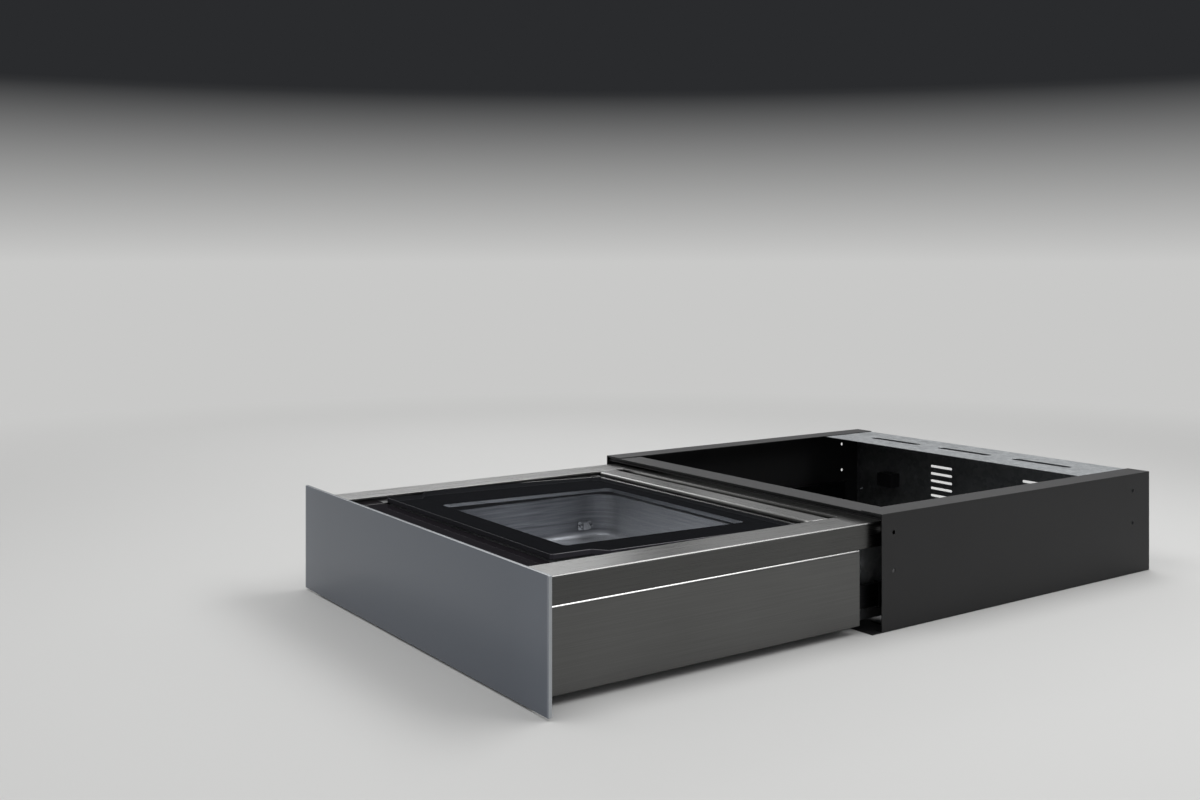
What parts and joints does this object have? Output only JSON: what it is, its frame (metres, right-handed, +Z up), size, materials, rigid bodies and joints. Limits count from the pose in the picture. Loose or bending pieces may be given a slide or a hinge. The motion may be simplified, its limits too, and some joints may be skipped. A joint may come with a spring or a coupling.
{
  "type": "built-in vacuum sealing drawer",
  "caption": "Built-in vacuum sealing drawer drawn out on telescopic runners, with a hinged glass lid over a deep-drawn steel chamber, a sealing bar and a plain glass front.",
  "frame": {"origin": "underside of the casing, in the middle of the cabinet's front plane, where the front panel shuts", "axes": "+X to the right seen from the front, +Y to the back, +Z up; at rest the drawer is drawn out to its stop and the lid is one degree ajar"},
  "size_m": [0.597, 1.015, 0.138],
  "materials": {
    "panel_glass": "polished, painted on the back",
    "lid_glass": "polished, black printed border",
    "strip_glass": "polished, black printed back",
    "stainless": "brushed",
    "chamber_steel": "fine satin",
    "galvanised": "galvanised sheet",
    "runner_steel": "zinc plated",
    "pin_steel": "ground",
    "black_metal": "satin black",
    "black_plastic": "fine matt",
    "grey_plastic": "plain",
    "gasket_rubber": "soft matt",
    "silicone": "silicone",
    "hose_rubber": "matt",
    "aluminium": "extruded and cast",
    "band_cover": "glass cloth tape",
    "board": "laminate",
    "motor_paint": "dark grey paint"
  },
  "bodies": {
    "casing": {"casing_floor": "black_metal", "casing_side_left": "black_metal", "casing_side_right": "black_metal", "casing_rear": "galvanised", "top_front_bar": "black_metal", "top_rear_plate": "galvanised", "front_rail": "black_metal", "casing_screws": "runner_steel", "mains_inlet": "black_plastic", "latch_housing": "black_plastic", "runners_fixed": "runner_steel", "runner_brackets": "runner_steel"},
    "drawer": {"front_glass": "panel_glass", "front_backing": "black_metal", "panel_brackets": "galvanised", "tray_floor": "galvanised", "tray_sides": "galvanised", "tray_front": "galvanised", "tray_rear": "galvanised", "side_cover_left": "stainless", "side_cover_right": "stainless", "deck": "stainless", "chassis_plate": "galvanised", "touch_glass": "strip_glass", "touch_carrier": "black_plastic", "touch_board": "board", "chamber_tub": "chamber_steel", "suction_filter": "black_plastic", "lid_surround_left": "black_plastic", "lid_surround_right": "black_plastic", "hinge_blocks": "black_metal", "hinge_pins": "pin_steel", "lift_cylinders": "aluminium", "rear_cover": "stainless", "pump_buffers": "gasket_rubber", "pump_cradle": "galvanised", "pump_motor": "motor_paint", "pump_head": "aluminium", "exhaust_filter": "grey_plastic", "valve_block": "aluminium", "valve_coils": "motor_paint", "vacuum_hoses": "hose_rubber", "pressure_sensor": "grey_plastic", "power_board": "board", "seal_transformer": "motor_paint", "fan_housing": "black_plastic", "runners_inner": "runner_steel"},
    "runner_left": {"runner_middle_left": "runner_steel"},
    "runner_right": {"runner_middle_right": "runner_steel"},
    "lid": {"lid_glass": "lid_glass", "lid_frame": "black_plastic", "lid_gasket": "gasket_rubber", "counter_bar": "silicone", "hinge_arms": "black_metal"},
    "bar": {"sealing_bar": "aluminium", "heating_band": "band_cover", "lift_pistons": "pin_steel"},
    "fan": {"fan_rotor": "black_plastic"},
    "plunger": {"latch_plunger": "grey_plastic"}
  },
  "joints": [
    {"name": "drawer_slide", "type": "slide", "parent": "casing", "child": "drawer", "axis": [0, 1, 0], "range_m": [0, 0.4525]},
    {"name": "runner_left_slide", "type": "slide", "parent": "casing", "child": "runner_left", "axis": [0, 1, 0], "range_m": [0, 0.22625]},
    {"name": "runner_right_slide", "type": "slide", "parent": "casing", "child": "runner_right", "axis": [0, 1, 0], "range_m": [0, 0.22625]},
    {"name": "lid_hinge", "type": "hinge", "parent": "drawer", "child": "lid", "pos_m": [0, -0.064, 0.1185], "axis": [1, 0, 0], "range_deg": [-75, 1]},
    {"name": "bar_lift", "type": "slide", "parent": "drawer", "child": "bar", "axis": [0, 0, 1], "range_m": [0, 0.008]},
    {"name": "fan_spin", "type": "hinge", "parent": "drawer", "child": "fan", "pos_m": [-0.19, 0.04, 0.062], "axis": [0, 1, 0], "continuous": true},
    {"name": "latch_press", "type": "slide", "parent": "casing", "child": "plunger", "axis": [0, 1, 0], "range_m": [0, 0.008], "stiffness_N_per_m": 400}
  ],
  "couplings": [
    {"joint": "runner_left_slide", "follows": "drawer_slide", "ratio": 0.5},
    {"joint": "runner_right_slide", "follows": "drawer_slide", "ratio": 0.5}
  ]
}
